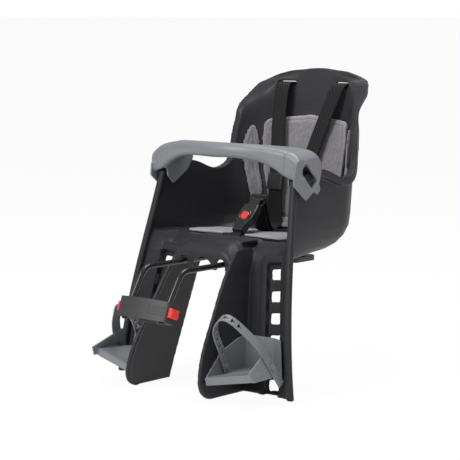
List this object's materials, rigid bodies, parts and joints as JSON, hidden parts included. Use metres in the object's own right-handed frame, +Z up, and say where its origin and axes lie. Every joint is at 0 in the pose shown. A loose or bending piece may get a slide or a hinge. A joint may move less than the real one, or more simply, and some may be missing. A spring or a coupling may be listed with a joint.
{
  "type": "front-mounted child bike seat",
  "caption": "Moulded bucket seat for a child with leg guards, footrests, safety bar, harness and a bent rod that plugs into a clamp block for a bicycle's tube.",
  "frame": {"origin": "on the axis of the bicycle's tube, at the middle of the clamp block", "axes": "+Z up as the seat is used, -Y the way the child faces, +X to the child's left"},
  "size_m": [0.403, 0.4958, 0.54],
  "materials": {
    "shell_plastic": "fine-grained moulded plastic",
    "felt": "grey melange felt",
    "grey_plastic": "satin moulded plastic",
    "grey_rubber": "soft matte plastic",
    "webbing": "woven webbing",
    "black_plastic": "satin moulded plastic",
    "red_plastic": "smooth moulded plastic",
    "rod_steel": "black powder coat",
    "zinc_steel": "zinc plated",
    "block_plastic": "fine-grained moulded plastic"
  },
  "bodies": {
    "block": {"block_housing": "block_plastic", "clamp_jaw": "block_plastic", "clamp_bolts": "zinc_steel"},
    "seat": {"seat_shell": "shell_plastic", "centre_back_pad": "felt", "side_pad_left": "felt", "side_pad_right": "felt", "seat_pad": "felt", "harness_strap_left": "webbing", "harness_strap_right": "webbing", "strap_adjuster_left": "black_plastic", "strap_adjuster_right": "black_plastic", "webbing_keepers": "black_plastic", "crotch_strap": "webbing", "buckle_body": "black_plastic", "buckle_tongue_left": "black_plastic", "buckle_tongue_right": "black_plastic", "support_rod": "rod_steel", "rod_plate": "black_plastic", "plate_screws": "zinc_steel"},
    "safety_bar": {"safety_bar": "grey_plastic"},
    "buckle_button": {"buckle_button": "red_plastic"},
    "footrest_left": {"footrest_left": "grey_plastic", "foot_strap_left": "grey_rubber", "foot_strap_studs_left": "grey_plastic"},
    "footrest_right": {"footrest_right": "grey_plastic", "foot_strap_right": "grey_rubber", "foot_strap_studs_right": "grey_plastic"},
    "release_button_left": {"release_button_left": "red_plastic", "latch_left": "zinc_steel"},
    "release_button_right": {"release_button_right": "red_plastic", "latch_right": "zinc_steel"}
  },
  "joints": [
    {"name": "seat_lift", "type": "slide", "parent": "block", "child": "seat", "axis": [0, 0.5299, 0.848], "range_m": [0, 0.06]},
    {"name": "bar_lift", "type": "slide", "parent": "seat", "child": "safety_bar", "axis": [0, 0, 1], "range_m": [0, 0.045]},
    {"name": "footrest_left_pull", "type": "slide", "parent": "seat", "child": "footrest_left", "axis": [0, -0.983, 0.1838], "range_m": [0, 0.02]},
    {"name": "footrest_right_pull", "type": "slide", "parent": "seat", "child": "footrest_right", "axis": [0, -0.983, 0.1838], "range_m": [0, 0.02]},
    {"name": "buckle_press", "type": "slide", "parent": "seat", "child": "buckle_button", "axis": [0, 0.6947, -0.7193], "range_m": [0, 0.002], "stiffness_N_per_m": 1000},
    {"name": "release_left_press", "type": "slide", "parent": "block", "child": "release_button_left", "axis": [-1, 0, 0], "range_m": [0, 0.004], "stiffness_N_per_m": 1000},
    {"name": "release_right_press", "type": "slide", "parent": "block", "child": "release_button_right", "axis": [1, 0, 0], "range_m": [0, 0.004], "stiffness_N_per_m": 1000}
  ]
}
